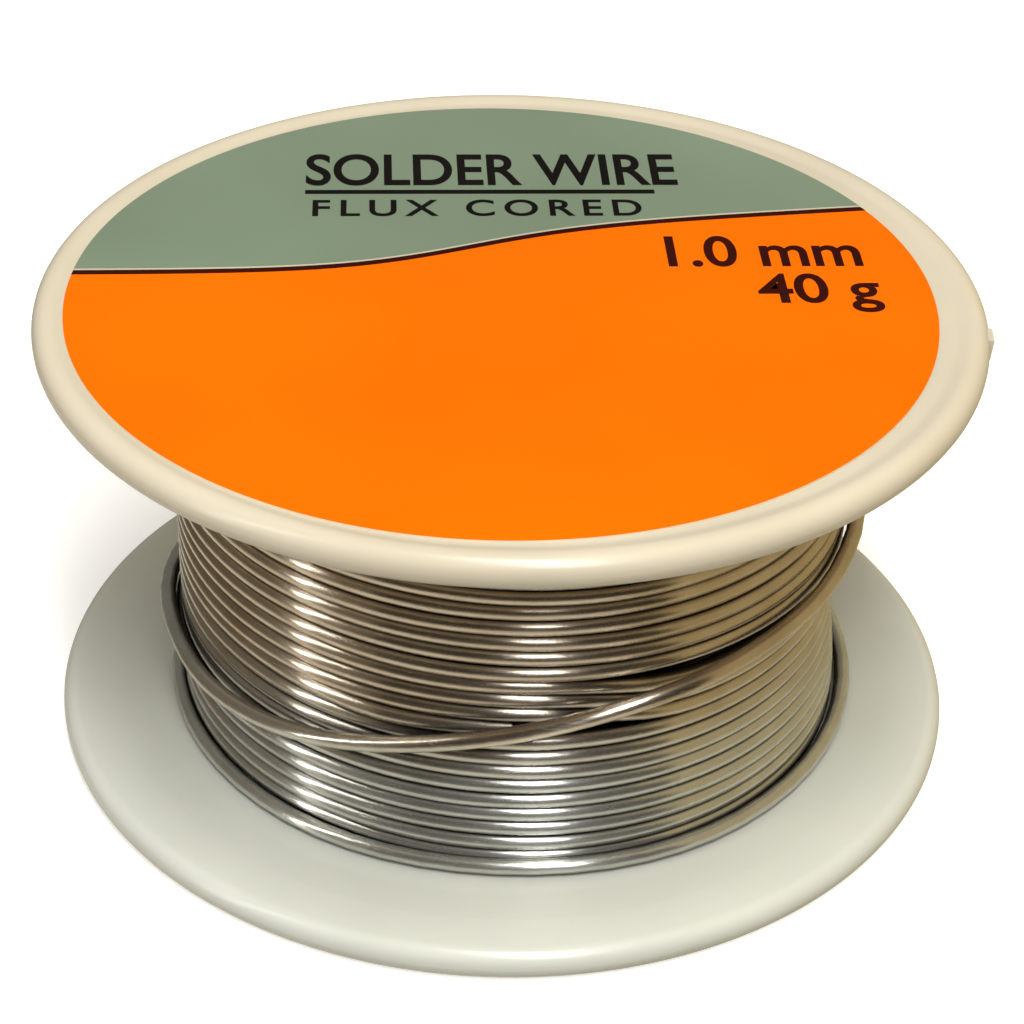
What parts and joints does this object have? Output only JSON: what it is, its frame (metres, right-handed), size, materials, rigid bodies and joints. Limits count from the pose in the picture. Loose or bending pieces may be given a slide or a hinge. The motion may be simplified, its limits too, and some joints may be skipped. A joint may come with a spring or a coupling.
{
  "type": "solder wire spool",
  "caption": "Small natural-plastic spool, 56 mm across, with two layers of 1 mm flux-cored solder wire, a loose crossing turn, a cut end and a round orange label.",
  "frame": {"origin": "centre of the lower flange's underside, on the spool's axis", "axes": "+Z along the spool's axis towards the label, -Y towards the viewer of the front"},
  "size_m": [0.0562, 0.056, 0.0287],
  "materials": {
    "flange_plastic": "satin",
    "label": "matte",
    "solder": "satin",
    "flux": "gloss"
  },
  "bodies": {
    "root": {"lower_flange": "flange_plastic", "upper_flange": "flange_plastic", "drum": "flange_plastic", "top_label": "label", "wire_start": "solder", "wire_inner_layer": "solder", "wire_outer_layer": "solder", "base_turn": "solder", "crossing_turn": "solder", "wire_end": "solder", "flux_core": "flux"}
  },
  "joints": []
}
